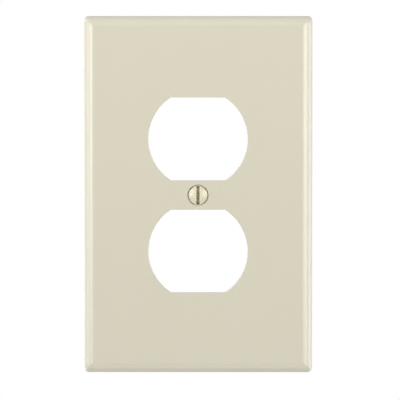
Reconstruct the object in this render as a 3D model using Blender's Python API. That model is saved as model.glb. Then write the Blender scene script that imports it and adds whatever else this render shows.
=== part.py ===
"""Wall plate cover for one duplex receptacle: a moulded plate and its oval-head mounting screw.

Frame: metres, +Z up along the plate's length, +X to the right as seen from the front. The front
faces -Y, the wall is the plane y = 0, and the origin is where the screw's axis meets the wall.
A depth below is a distance in front of the wall, so a point at depth d has y = -d.
"""

import math

import bmesh
import bpy

INCH = 0.0254
MM = 0.001

# Plate outline: the midway one-gang size.
PLATE_WIDTH = 3.125 * INCH
PLATE_LENGTH = 4.875 * INCH
PLATE_DEPTH = 0.25 * INCH
CORNER_RADIUS = 1.6 * MM
SHARPEST_CORNER = 0.12 * MM

# Rolled edge: a quarter ellipse from the side wall to the flat front.
ROLL_WIDTH = 4.1 * MM
ROLL_DEPTH = 3.7 * MM
SIDE_DRAFT = 0.15 * MM
ROLL_STEPS = 8
CORNER_STEPS = 4

# Hollow back.
FACE_THICKNESS = 2.2 * MM
RIM_THICKNESS = 2.0 * MM
RECESS_CHAMFER = 1.2 * MM
RECESS_DRAFT = 0.1 * MM
RIB_THICKNESS = 1.2 * MM
RIB_TIP_DEPTH = 2.0 * MM
LONG_RIB_X = 26.5 * MM
CROSS_RIB_ZS = (-28.0 * MM, 0.0, 28.0 * MM)
END_RIB_Z = 55.5 * MM
ROOT_IN_FACE = 0.8 * MM
ROOT_IN_RIM = 0.5 * MM

# Receptacle openings: a circle with a flat above and a flat below.
OPENING_RADIUS = 0.676 * INCH
OPENING_HALF_HEIGHT = 0.567 * INCH
OPENING_SPACING = 1.531 * INCH
OPENING_ARC_STEPS = 24
COLLAR_WIDTH = 1.0 * MM
COLLAR_HEIGHT = 0.8 * MM

# Screw hole through the plate's middle.
HEAD_ANGLE = math.radians(82.0)
COUNTERSINK_RADIUS = 3.65 * MM
CLEARANCE_HOLE_RADIUS = 2.1 * MM
BOSS_RADIUS = 4.8 * MM
BOSS_TIP_DEPTH = 2.2 * MM

# Screw: 6-32 thread, half an inch from the head's edge to the tip.
SCREW_LENGTH = 0.5 * INCH
THREAD_PITCH = INCH / 32.0
THREAD_RADIUS = 0.5 * 0.138 * INCH
CORE_RADIUS = 1.28 * MM
NECK_RADIUS = 1.5 * MM
NECK_LENGTH = 0.6 * MM
TIP_CHAMFER = 0.35 * MM
HEAD_RADIUS = 3.25 * MM
CROWN_HEIGHT = 0.9 * MM
CROWN_STEPS = 6
SLOT_WIDTH = 1.05 * MM
SLOT_DEPTH = 1.4 * MM
SEAT_GAP = 0.3 * MM

ROUND_STEPS = 48
THREAD_STEPS = 18
FADE_TURNS = 0.75
CUT_MARGIN = 1.0 * MM


def clear_scene():
    """Remove every object that the new file came with."""
    for old in list(bpy.data.objects):
        bpy.data.objects.remove(old, do_unlink=True)


def at_depth(x, z, depth):
    """The point over (x, z) on the wall, that far in front of it."""
    return (x, -depth, z)


def around_axis(radius, angle, depth):
    """The point at that radius and angle round the screw's axis."""
    return at_depth(radius * math.sin(angle), radius * math.cos(angle), depth)


def make_material(name, colour, roughness, metallic):
    """A Principled material with one colour."""
    material = bpy.data.materials.new(name)
    material.use_nodes = True
    shader = material.node_tree.nodes["Principled BSDF"]
    shader.inputs["Base Color"].default_value = (*colour, 1.0)
    shader.inputs["Roughness"].default_value = roughness
    shader.inputs["Metallic"].default_value = metallic
    return material


def make_plate_material():
    """Light almond thermoset plastic with a soft sheen."""
    return make_material("plate_plastic", (0.70, 0.66, 0.53), 0.35, 0.0)


def make_screw_material():
    """Steel with a light almond painted head."""
    return make_material("screw_paint", (0.72, 0.68, 0.52), 0.40, 0.0)


def add_object(name, mesh_builder):
    """Turn a bmesh into a linked object, with its faces pointing out."""
    bmesh.ops.recalc_face_normals(mesh_builder, faces=mesh_builder.faces)
    mesh = bpy.data.meshes.new(name)
    mesh_builder.to_mesh(mesh)
    mesh_builder.free()
    made = bpy.data.objects.new(name, mesh)
    bpy.context.scene.collection.objects.link(made)
    return made


def add_loft(mesh_builder, loops):
    """Skin a row of equal loops, and close both ends."""
    rings = [[mesh_builder.verts.new(point) for point in loop] for loop in loops]
    count = len(rings[0])
    for first, second in zip(rings, rings[1:]):
        for i in range(count):
            j = (i + 1) % count
            mesh_builder.faces.new((first[i], first[j], second[j], second[i]))
    mesh_builder.faces.new(rings[0])
    mesh_builder.faces.new(rings[-1])


def loft_object(name, *lofts):
    """One object from one or more lofts that stay clear of each other."""
    mesh_builder = bmesh.new()
    for loops in lofts:
        add_loft(mesh_builder, loops)
    return add_object(name, mesh_builder)


def rectangle(x_range, z_range, depth):
    """A four-cornered loop at one depth."""
    (x0, x1), (z0, z1) = x_range, z_range
    return [at_depth(x, z, depth) for x, z in ((x0, z0), (x1, z0), (x1, z1), (x0, z1))]


def block(x_range, z_range, depth_range):
    """The two loops of a plain block."""
    return [rectangle(x_range, z_range, depth) for depth in depth_range]


def rounded_rectangle(half_width, half_length, radius, depth):
    """A loop with round corners, centred on the screw's axis."""
    loop = []
    for quarter in range(4):
        start = quarter * math.pi / 2
        side_x = 1 if quarter in (0, 3) else -1
        side_z = 1 if quarter in (0, 1) else -1
        centre_x = side_x * (half_width - radius)
        centre_z = side_z * (half_length - radius)
        for step in range(CORNER_STEPS + 1):
            angle = start + step / CORNER_STEPS * math.pi / 2
            x = centre_x + radius * math.cos(angle)
            z = centre_z + radius * math.sin(angle)
            loop.append(at_depth(x, z, depth))
    return loop


def plate_outline(inset, depth):
    """The plate's outline, drawn in from its back edge by inset."""
    radius = max(CORNER_RADIUS - inset, SHARPEST_CORNER)
    return rounded_rectangle(PLATE_WIDTH / 2 - inset, PLATE_LENGTH / 2 - inset, radius, depth)


def opening_outline(centre_z, grow, depth):
    """A receptacle opening's loop: two arcs joined by two flats, grown outwards by grow."""
    radius = OPENING_RADIUS + grow
    reach = math.asin((OPENING_HALF_HEIGHT + grow) / radius)
    loop = []
    for middle in (0.0, math.pi):
        for step in range(OPENING_ARC_STEPS + 1):
            angle = middle - reach + 2 * reach * step / OPENING_ARC_STEPS
            x = radius * math.cos(angle)
            z = centre_z + radius * math.sin(angle)
            loop.append(at_depth(x, z, depth))
    return loop


def turned_loops(profile, steps):
    """Loops round the screw's axis for a list of (radius, depth)."""
    angles = [2 * math.pi * i / steps for i in range(steps)]
    return [[around_axis(radius, angle, depth) for angle in angles] for radius, depth in profile]


def make_guide(made):
    """Keep a cutting or adding shape out of the model itself."""
    made.hide_render = True
    made.display_type = "WIRE"
    return made


def combine(target, operation, tool):
    """Cut the tool away from the target, or join it on."""
    modifier = target.modifiers.new(tool.name, "BOOLEAN")
    modifier.operation = operation
    modifier.solver = "EXACT"
    modifier.object = make_guide(tool)


def finish_object(made, material):
    """Give an object its material and smooth shading with crisp edges."""
    made.data.materials.append(material)
    made.data.shade_smooth()
    made.data.set_sharp_from_angle(angle=math.radians(35.0))


def make_plate_body():
    """The plate's solid outside: side wall, rolled edge and flat front."""
    loops = [plate_outline(0.0, 0.0)]
    for step in range(ROLL_STEPS + 1):
        turn = step / ROLL_STEPS * math.pi / 2
        inset = SIDE_DRAFT + (ROLL_WIDTH - SIDE_DRAFT) * (1 - math.cos(turn))
        depth = PLATE_DEPTH - ROLL_DEPTH * (1 - math.sin(turn))
        loops.append(plate_outline(inset, depth))
    return loft_object("wall_plate", loops)


def make_recess():
    """The hollow in the back, chamfered where it meets the front wall."""
    floor = PLATE_DEPTH - FACE_THICKNESS
    wall_top = RIM_THICKNESS + RECESS_DRAFT
    loops = [
        plate_outline(RIM_THICKNESS, -CUT_MARGIN),
        plate_outline(wall_top, floor - RECESS_CHAMFER),
        plate_outline(wall_top + RECESS_CHAMFER, floor),
    ]
    return loft_object("back_recess", loops)


def rib_depths():
    """A rib's tip, and its root inside the front wall."""
    return (RIB_TIP_DEPTH, PLATE_DEPTH - FACE_THICKNESS + ROOT_IN_FACE)


def rib_span(middle):
    """The two sides of a rib centred on middle."""
    return (middle - RIB_THICKNESS / 2, middle + RIB_THICKNESS / 2)


def make_long_ribs():
    """Two ribs along the plate, from end rim to end rim."""
    reach = PLATE_LENGTH / 2 - RIM_THICKNESS + ROOT_IN_RIM
    ribs = [block(rib_span(side * LONG_RIB_X), (-reach, reach), rib_depths()) for side in (-1, 1)]
    return loft_object("long_ribs", *ribs)


def make_cross_ribs():
    """Short ribs from each long rib to the side rim, and one full rib near each end."""
    reach = PLATE_WIDTH / 2 - RIM_THICKNESS + ROOT_IN_RIM
    inner = LONG_RIB_X - RIB_THICKNESS / 4
    ribs = []
    for z in CROSS_RIB_ZS:
        ribs.append(block((-reach, -inner), rib_span(z), rib_depths()))
        ribs.append(block((inner, reach), rib_span(z), rib_depths()))
    for z in (-END_RIB_Z, END_RIB_Z):
        ribs.append(block((-reach, reach), rib_span(z), rib_depths()))
    return loft_object("cross_ribs", *ribs)


def opening_centres():
    """Heights of the two openings' centres."""
    return (-OPENING_SPACING / 2, OPENING_SPACING / 2)


def make_collars():
    """Low raised bands on the back, later cut through by the openings."""
    floor = PLATE_DEPTH - FACE_THICKNESS
    depths = (floor - COLLAR_HEIGHT, floor + ROOT_IN_FACE / 2)
    bands = [[opening_outline(z, COLLAR_WIDTH, d) for d in depths] for z in opening_centres()]
    return loft_object("opening_collars", *bands)


def make_openings():
    """The two shapes that a duplex receptacle's faces come through."""
    depths = (-CUT_MARGIN, PLATE_DEPTH + CUT_MARGIN)
    cuts = [[opening_outline(z, 0.0, d) for d in depths] for z in opening_centres()]
    return loft_object("receptacle_openings", *cuts)


def make_boss():
    """The round boss behind the screw hole."""
    root = PLATE_DEPTH - FACE_THICKNESS / 2
    profile = [(BOSS_RADIUS, BOSS_TIP_DEPTH), (BOSS_RADIUS, root)]
    return loft_object("screw_boss", turned_loops(profile, ROUND_STEPS))


def make_screw_hole():
    """The clearance hole and the countersink above it."""
    slope = math.tan(HEAD_ANGLE / 2)
    hole_top = PLATE_DEPTH - (COUNTERSINK_RADIUS - CLEARANCE_HOLE_RADIUS) / slope
    profile = [
        (CLEARANCE_HOLE_RADIUS, BOSS_TIP_DEPTH - CUT_MARGIN),
        (CLEARANCE_HOLE_RADIUS, hole_top),
        (COUNTERSINK_RADIUS + slope * CUT_MARGIN, PLATE_DEPTH + CUT_MARGIN),
    ]
    return loft_object("screw_hole", turned_loops(profile, ROUND_STEPS))


def make_wall_plate():
    """The whole moulded plate."""
    plate = make_plate_body()
    combine(plate, "DIFFERENCE", make_recess())
    combine(plate, "UNION", make_long_ribs())
    combine(plate, "UNION", make_cross_ribs())
    combine(plate, "UNION", make_collars())
    combine(plate, "UNION", make_boss())
    combine(plate, "DIFFERENCE", make_openings())
    combine(plate, "DIFFERENCE", make_screw_hole())
    finish_object(plate, make_plate_material())


def head_edge_depth():
    """Depth of the head's widest edge, where its cone clears the countersink by the seat gap."""
    half_angle = HEAD_ANGLE / 2
    widest_here = COUNTERSINK_RADIUS - SEAT_GAP / math.cos(half_angle)
    return PLATE_DEPTH + (HEAD_RADIUS - widest_here) / math.tan(half_angle)


def screw_profile():
    """The screw's outline, from the crown's middle to the tip, as (radius, depth)."""
    edge = head_edge_depth()
    ball_radius = (HEAD_RADIUS**2 + CROWN_HEIGHT**2) / (2 * CROWN_HEIGHT)
    widest_turn = math.asin(HEAD_RADIUS / ball_radius)
    profile = []
    for step in range(1, CROWN_STEPS + 1):
        turn = widest_turn * step / CROWN_STEPS
        drop = ball_radius * (1 - math.cos(turn))
        profile.append((ball_radius * math.sin(turn), edge + CROWN_HEIGHT - drop))
    neck_top = edge - (HEAD_RADIUS - NECK_RADIUS) / math.tan(HEAD_ANGLE / 2)
    tip = edge - SCREW_LENGTH
    profile.append((NECK_RADIUS, neck_top))
    profile.append((NECK_RADIUS, neck_top - NECK_LENGTH))
    profile.append((CORE_RADIUS, neck_top - NECK_LENGTH))
    profile.append((CORE_RADIUS, tip + TIP_CHAMFER))
    profile.append((CORE_RADIUS - TIP_CHAMFER, tip))
    return profile


def make_screw_body():
    """Head and core, turned round the screw's axis."""
    return loft_object("mounting_screw", turned_loops(screw_profile(), 2 * THREAD_STEPS))


def thread_section(angle, depth, crest_radius):
    """One slice of the thread's ridge: four corners, root inside the core, crest outside."""
    root_radius = CORE_RADIUS - 0.1 * MM
    flank = math.tan(math.radians(30.0))
    crest_half = THREAD_PITCH / 16 + flank * (THREAD_RADIUS - crest_radius)
    root_half = THREAD_PITCH / 16 + flank * (THREAD_RADIUS - root_radius)
    corners = (
        (root_radius, -root_half),
        (root_radius, root_half),
        (crest_radius, crest_half),
        (crest_radius, -crest_half),
    )
    return [around_axis(radius, angle, depth + shift) for radius, shift in corners]


def make_thread():
    """The right-hand thread: a ridge that fades into the core at both ends."""
    profile = screw_profile()
    start_depth = profile[CROWN_STEPS + 2][1]
    end_depth = profile[-1][1] + 0.5 * THREAD_PITCH
    turns = (start_depth - end_depth) / THREAD_PITCH
    lowest = CORE_RADIUS - 0.08 * MM
    steps = round(turns * THREAD_STEPS)
    loops = []
    for step in range(steps + 1):
        turn = step / THREAD_STEPS
        fade = min(turn, turns - turn, FADE_TURNS) / FADE_TURNS
        crest_radius = lowest + (THREAD_RADIUS - lowest) * max(fade, 0.0)
        angle = 2 * math.pi * turn
        loops.append(thread_section(angle, start_depth - THREAD_PITCH * turn, crest_radius))
    return loft_object("screw_thread", loops)


def make_slot():
    """The straight slot across the head."""
    top = head_edge_depth() + CROWN_HEIGHT
    half = SLOT_WIDTH / 2
    reach = HEAD_RADIUS + CUT_MARGIN
    slot = block((-half, half), (-reach, reach), (top - SLOT_DEPTH, top + CUT_MARGIN))
    return loft_object("driver_slot", slot)


def make_mounting_screw():
    """The whole screw. Its origin is on its own axis, which it turns about."""
    screw = make_screw_body()
    combine(screw, "UNION", make_thread())
    combine(screw, "DIFFERENCE", make_slot())
    finish_object(screw, make_screw_material())


clear_scene()
make_wall_plate()
make_mounting_screw()
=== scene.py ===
"""Looks of a wall plate cover: the moulded plate and its painted mounting screw.

Lengths are metres. The front faces -Y, the wall is the plane y = 0, +Z is up, and the origin is on
the screw's axis. A depth is a distance in front of the wall, so a point at depth d has y = -d.

Every moulded or turned shape here is a loft: a closed outline that grows or shrinks as it is carried
through a row of sections. One kind of Geometry Nodes tree makes them all, and two others wind the
screw's thread and shape the cutter of its slot.
"""

import logging
import math
from dataclasses import dataclass, field
from enum import Enum

import bmesh
import bpy
from mathutils import Matrix, Vector


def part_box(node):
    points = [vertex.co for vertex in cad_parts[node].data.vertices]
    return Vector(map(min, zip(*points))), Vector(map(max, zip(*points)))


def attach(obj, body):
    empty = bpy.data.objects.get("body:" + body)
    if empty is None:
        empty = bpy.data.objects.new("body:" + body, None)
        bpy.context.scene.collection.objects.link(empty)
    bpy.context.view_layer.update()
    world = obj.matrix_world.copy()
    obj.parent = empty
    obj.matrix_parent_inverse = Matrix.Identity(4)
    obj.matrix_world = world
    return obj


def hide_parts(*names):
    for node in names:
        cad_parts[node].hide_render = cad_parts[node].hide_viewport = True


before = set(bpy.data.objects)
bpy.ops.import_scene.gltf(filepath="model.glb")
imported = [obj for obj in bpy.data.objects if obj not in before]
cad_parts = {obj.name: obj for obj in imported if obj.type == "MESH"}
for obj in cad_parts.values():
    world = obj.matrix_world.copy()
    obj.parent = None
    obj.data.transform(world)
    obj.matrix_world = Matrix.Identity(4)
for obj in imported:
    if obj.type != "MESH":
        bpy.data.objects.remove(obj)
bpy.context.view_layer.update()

Colour = tuple[float, float, float]
Level = float | bpy.types.NodeSocket

MM = 0.001
PLATE_NODE = "wall_plate"
SCREW_NODE = "mounting_screw"

# Degrees past which an edge stays crisp when a piece is shaded smoothly.
CREASE = 32.0
# Degrees that a fillet or a lip turns, which stops it short of lying flat on the face it meets.
NEAR_FLAT = 80.0
# Radians that a wave texture's bands turn through in each unit, at a scale of one.
WAVE_RATE = 20.0
# How far the floor lies below the plate.
FLOOR_DROP = 0.25

log = logging.getLogger("wall_plate_cover")


class Bend(Enum):
    """How a section of a loft runs from its first ring to its last."""

    STRAIGHT = "straight"
    DEPTH_FIRST = "depth_first"
    SIDE_FIRST = "side_first"


class Joining(Enum):
    """What one closed shape does to another."""

    CUT = "DIFFERENCE"
    ADD = "UNION"


class Outline(Enum):
    """The closed curves that a loft can carry."""

    RECTANGLE = "rectangle"
    RECEPTACLE = "receptacle"
    ROUND = "round"


@dataclass(frozen=True)
class Section:
    """One stretch of a loft's side.

    Attributes:
        name: What the stretch is, used for its inputs in the tree.
        grow: How far the outline moves outwards over the stretch, or over a whole quarter turn.
        rise: How far the depth grows over the stretch, or over a whole quarter turn.
        steps: Rings along the stretch.
        bend: Straight, or an arc of an ellipse that starts along the depth or along the side.
        sweep: How far the arc turns, in degrees.
        turned: How far it has turned already where the stretch starts, in degrees.
    """

    name: str
    grow: float
    rise: float
    steps: int = 1
    bend: Bend = Bend.STRAIGHT
    sweep: float = 90.0
    turned: float = 0.0


class Number:
    """A number that flows through a node tree and takes ordinary arithmetic."""

    def __init__(self, tree: "ShapeTree", socket: bpy.types.NodeSocket) -> None:
        """Hold one output socket of a tree."""
        self.tree = tree
        self.socket = socket

    def __add__(self, other: "Number | float") -> "Number":
        """Sum."""
        return self.tree.math("ADD", self, other)

    def __sub__(self, other: "Number | float") -> "Number":
        """Difference."""
        return self.tree.math("SUBTRACT", self, other)

    def __rsub__(self, other: "Number | float") -> "Number":
        """Difference from a plain number."""
        return self.tree.math("SUBTRACT", other, self)

    def __mul__(self, other: "Number | float") -> "Number":
        """Product."""
        return self.tree.math("MULTIPLY", self, other)

    def __truediv__(self, other: "Number | float") -> "Number":
        """Quotient."""
        return self.tree.math("DIVIDE", self, other)

    __radd__ = __add__
    __rmul__ = __mul__


class ShapeTree:
    """A Geometry Nodes tree with named inputs, from which plain meshes are made."""

    def __init__(self, name: str) -> None:
        """Start an empty tree.

        Args:
            name: The tree's name.
        """
        self.group = bpy.data.node_groups.new(name, "GeometryNodeTree")
        self.entry = self.group.nodes.new("NodeGroupInput")
        self.identifiers: dict[str, str] = {}
        self.values: dict[str, object] = {}

    def _input(self, name: str, kind: str, value: object) -> bpy.types.NodeSocket:
        """Add a named input and remember the value that it will be given.

        Args:
            name: The input's name.
            kind: Its type of socket.
            value: Its value.

        Returns:
            The socket that the value flows out of.
        """
        item = self.group.interface.new_socket(name=name, in_out="INPUT", socket_type=kind)
        self.identifiers[name] = item.identifier
        self.values[name] = value
        return next(s for s in self.entry.outputs if s.identifier == item.identifier)

    def number(self, name: str, value: float) -> Number:
        """Add a named size."""
        return Number(self, self._input(name, "NodeSocketFloat", float(value)))

    def count(self, name: str, value: int) -> Number:
        """Add a named whole number."""
        return Number(self, self._input(name, "NodeSocketInt", int(value)))

    def vector(self, name: str, value: Vector) -> bpy.types.NodeSocket:
        """Add a named place or direction."""
        return self._input(name, "NodeSocketVector", tuple(value))

    def node(self, kind: str, inputs: dict, **settings: object) -> bpy.types.Node:
        """Add a node.

        Args:
            kind: The node's type.
            inputs: Values or links for its input sockets, by name or index.
            **settings: Values for the node's own properties.

        Returns:
            The new node.
        """
        made = self.group.nodes.new(kind)
        for key, value in settings.items():
            setattr(made, key, value)
        for key, value in inputs.items():
            self._feed(made.inputs[key], value)
        return made

    def _feed(self, socket: bpy.types.NodeSocket, value: object) -> None:
        """Link a flowing value to a socket, or set a plain one on it.

        Args:
            socket: The input socket.
            value: What goes into it.
        """
        if isinstance(value, Number):
            value = value.socket
        if isinstance(value, bpy.types.NodeSocket):
            self.group.links.new(value, socket)
        else:
            socket.default_value = value

    def math(self, operation: str, *values: "Number | float") -> Number:
        """One step of arithmetic."""
        inputs = dict(enumerate(values))
        return Number(self, self.node("ShaderNodeMath", inputs, operation=operation).outputs[0])

    def clamp(self, value: Number) -> Number:
        """Keep a number between zero and one."""
        return self.math("MINIMUM", self.math("MAXIMUM", value, 0.0), 1.0)

    def put(
        self, tube: bpy.types.NodeSocket, x: Number, depth: Number, z: Number
    ) -> bpy.types.NodeSocket:
        """Put a tube's points in place.

        Args:
            tube: The capped tube.
            x: How far to the right each point goes.
            depth: How far in front of the wall it goes.
            z: How high it goes.

        Returns:
            The shaped tube.
        """
        place = self.node("ShaderNodeCombineXYZ", {"X": x, "Y": depth * -1.0, "Z": z}).outputs[0]
        return self.node("GeometryNodeSetPosition", {0: tube, "Position": place}).outputs[0]

    def rings(self, around: Number, along: Number) -> tuple[bpy.types.NodeSocket, Number, Number]:
        """Make a capped tube of vertices, ready to be put in place.

        Args:
            around: Points round each ring.
            along: Steps from the first ring to the last.

        Returns:
            The tube, each point's number round its ring, and its ring's number.
        """
        tube = self.node("GeometryNodeMeshCylinder", {"Vertices": around, "Side Segments": along})
        index = Number(self, self.node("GeometryNodeInputIndex", {}).outputs[0])
        ring = self.math("FLOOR", (index + 0.5) / around)
        return tube.outputs["Mesh"], index - ring * around, ring

    def close(self, shape: bpy.types.NodeSocket) -> None:
        """End the tree: real geometry, smooth faces and a material.

        Args:
            shape: The finished shape.
        """
        real = self.node("GeometryNodeRealizeInstances", {0: shape}).outputs[0]
        smooth = self.node("GeometryNodeSetShadeSmooth", {0: real}).outputs[0]
        material = self._input("Material", "NodeSocketMaterial", None)
        dressed = self.node("GeometryNodeSetMaterial", {0: smooth, "Material": material})
        kind = "NodeSocketGeometry"
        self.group.interface.new_socket(name="Shape", in_out="OUTPUT", socket_type=kind)
        exit_node = self.group.nodes.new("NodeGroupOutput")
        self.group.links.new(dressed.outputs[0], exit_node.inputs[0])

    def make(self, name: str, material: bpy.types.Material) -> bpy.types.Object:
        """Run the tree once.

        Args:
            name: The new object's name.
            material: What the shape is dressed in.

        Returns:
            An object with a plain mesh.
        """
        host = bpy.data.objects.new(f"{name}_host", bpy.data.meshes.new(f"{name}_host"))
        modifier = host.modifiers.new(self.group.name, "NODES")
        modifier.node_group = self.group
        for key, value in {**self.values, "Material": material}.items():
            modifier[self.identifiers[key]] = value
        bpy.context.scene.collection.objects.link(host)
        return settle(host, name)


@dataclass
class Loft:
    """A closed outline carried through a row of sections.

    Attributes:
        outline: Which curve is carried.
        half_width: Half the outline's width, or a round outline's radius.
        half_height: Half the outline's height, unused on a round one.
        start: Depth of the first ring.
        sections: The stretches, in order.
        corner: Corner radius of a rectangle.
        around: Points round each ring.
        copies: How many of the shape there are.
        first: Where the first copy's centre is, over the wall.
        step: From one copy's centre to the next.
        corner_share: How much of the outline's growth goes into its corner radius.
        sharpest_corner: The corner radius that a shrinking rectangle keeps.
    """

    outline: Outline
    half_width: float
    half_height: float
    start: float
    sections: list[Section]
    corner: float = 0.0
    around: int = 64
    copies: int = 1
    first: Vector = field(default_factory=Vector)
    step: Vector = field(default_factory=Vector)
    corner_share: float = 1.0
    sharpest_corner: float = 0.06 * MM

    def make(self, name: str, material: bpy.types.Material) -> bpy.types.Object:
        """Build the tree and run it.

        Args:
            name: Name of the tree and of the object.
            material: What the shape is dressed in.

        Returns:
            The finished shape, all its copies in one mesh.
        """
        tree = ShapeTree(name)
        around = tree.count("Points Around", self.around)
        along = tree.count("Rings Along", sum(section.steps for section in self.sections))
        tube, point, ring = tree.rings(around, along)
        grow, depth = self._side(tree, ring)
        x, z = self._curve(tree, point, around, grow)
        placed = tree.put(tube, x, depth, z)
        places = {
            "Count": tree.count("Copies", self.copies),
            "Start Location": tree.vector("First Place", self.first),
            "Offset": tree.vector("Step", self.step),
        }
        row = tree.node("GeometryNodeMeshLine", places).outputs[0]
        repeated = tree.node("GeometryNodeInstanceOnPoints", {"Points": row, "Instance": placed})
        tree.close(repeated.outputs[0])
        return tree.make(name, material)

    def _side(self, tree: ShapeTree, ring: Number) -> tuple[Number, Number]:
        """Carry the outline through the sections.

        Args:
            tree: The tree under construction.
            ring: Each point's ring, counted from the first.

        Returns:
            How far the outline has grown and how deep it is, for every ring.
        """
        grow: Number | float = 0.0
        depth: Number | float = tree.number("Start Depth", self.start)
        passed = 0
        for section in self.sections:
            wide = tree.number(f"{section.name} Grow", section.grow)
            high = tree.number(f"{section.name} Rise", section.rise)
            share = tree.clamp((ring - passed) / section.steps)
            if section.bend is Bend.STRAIGHT:
                side, up = share, share
            else:
                turned = math.radians(section.turned)
                sweep = tree.number(f"{section.name} Sweep", math.radians(section.sweep))
                turn = share * sweep + turned
                side = tree.math("SINE", turn) - math.sin(turned)
                up = math.cos(turned) - tree.math("COSINE", turn)
                if section.bend is Bend.DEPTH_FIRST:
                    side, up = up, side
            grow = wide * side + grow
            depth = high * up + depth
            passed += section.steps
        return grow, depth

    def _curve(
        self, tree: ShapeTree, point: Number, around: Number, grow: Number
    ) -> tuple[Number, Number]:
        """Draw the outline.

        Args:
            tree: The tree under construction.
            point: Each point's place round its ring.
            around: Points round each ring.
            grow: How far the outline has grown.

        Returns:
            The outline's x and z, for every point of every ring.
        """
        half_width = tree.number("Half Width", self.half_width) + grow
        if self.outline is Outline.ROUND:
            turn = point / around * math.tau
            return half_width * tree.math("COSINE", turn), half_width * tree.math("SINE", turn)
        half_height = tree.number("Half Height", self.half_height) + grow
        if self.outline is Outline.RECEPTACLE:
            half = around * 0.5
            side = tree.math("FLOOR", (point + 0.5) / half)
            share = (point - side * half) / (half - 1.0)
            reach = tree.math("ARCSINE", half_height / half_width)
            turn = side * math.pi + reach * (share * 2.0 - 1.0)
            return half_width * tree.math("COSINE", turn), half_width * tree.math("SINE", turn)
        per_corner = around * 0.25
        quarter = tree.math("FLOOR", (point + 0.5) / per_corner)
        share = (point - quarter * per_corner) / (per_corner - 1.0)
        turn = (quarter + share) * (math.pi / 2)
        middle = (quarter + 0.5) * (math.pi / 2)
        radius = tree.number("Corner Radius", self.corner) + grow * self.corner_share
        radius = tree.math("MAXIMUM", radius, tree.number("Sharpest Corner", self.sharpest_corner))
        side_x = tree.math("SIGN", tree.math("COSINE", middle))
        side_z = tree.math("SIGN", tree.math("SINE", middle))
        x = side_x * (half_width - radius) + radius * tree.math("COSINE", turn)
        z = side_z * (half_height - radius) + radius * tree.math("SINE", turn)
        return x, z


def towards(azimuth: float, elevation: float) -> Vector:
    """Point from the plate to something in front of it.

    Args:
        azimuth: Degrees to the right of straight ahead.
        elevation: Degrees above straight ahead.

    Returns:
        A direction of unit length.
    """
    turn = math.radians(azimuth)
    lift = math.radians(elevation)
    flat = math.cos(lift)
    return Vector((math.sin(turn) * flat, -math.cos(turn) * flat, math.sin(lift)))


def link(name: str, mesh: bpy.types.Mesh) -> bpy.types.Object:
    """Put a mesh in the scene as an object at the origin.

    Args:
        name: The object's name.
        mesh: Its mesh.

    Returns:
        The new object.
    """
    made = bpy.data.objects.new(name, mesh)
    bpy.context.scene.collection.objects.link(made)
    return made


def settle(source: bpy.types.Object, name: str) -> bpy.types.Object:
    """Turn an object with live modifiers into one with a plain mesh.

    Args:
        source: The object, which is removed.
        name: The new object's name.

    Returns:
        The plain object.
    """
    shapes = bpy.context.evaluated_depsgraph_get()
    mesh = bpy.data.meshes.new_from_object(source.evaluated_get(shapes), depsgraph=shapes)
    bpy.data.objects.remove(source, do_unlink=True)
    mesh.name = name
    return link(name, mesh)


def face_outwards(shape: bpy.types.Object) -> bpy.types.Object:
    """Turn a closed shape's faces so that they all point out of it.

    Args:
        shape: The shape.

    Returns:
        The same object.
    """
    builder = bmesh.new()
    builder.from_mesh(shape.data)
    bmesh.ops.recalc_face_normals(builder, faces=builder.faces)
    builder.to_mesh(shape.data)
    builder.free()
    return shape


def combine(target: bpy.types.Object, joining: Joining, tool: bpy.types.Object) -> bpy.types.Object:
    """Cut one closed shape from another, or join the two.

    Args:
        target: The shape that is kept.
        joining: Whether the tool cuts or adds.
        tool: The shape that is used up. Its faces keep their own material.

    Returns:
        The result, under the target's name.
    """
    modifier = target.modifiers.new(tool.name, "BOOLEAN")
    modifier.operation = joining.value
    modifier.solver = "EXACT"
    modifier.material_mode = "TRANSFER"
    modifier.object = tool
    result = settle(target, target.name)
    bpy.data.objects.remove(tool, do_unlink=True)
    return result


def smooth_over(shape: bpy.types.Object) -> bpy.types.Object:
    """Shade a shape smoothly between creases, with the large flat faces left truly flat.

    Args:
        shape: The shape, whose edges stay crisp past the angle CREASE.

    Returns:
        The same shape as a new plain object.
    """
    shape.data.shade_smooth()
    shape.data.set_sharp_from_angle(angle=math.radians(CREASE))
    weighting = shape.modifiers.new("flat_faces_first", "WEIGHTED_NORMAL")
    weighting.mode = "FACE_AREA"
    weighting.weight = 100
    weighting.keep_sharp = True
    return settle(shape, shape.name)


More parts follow.
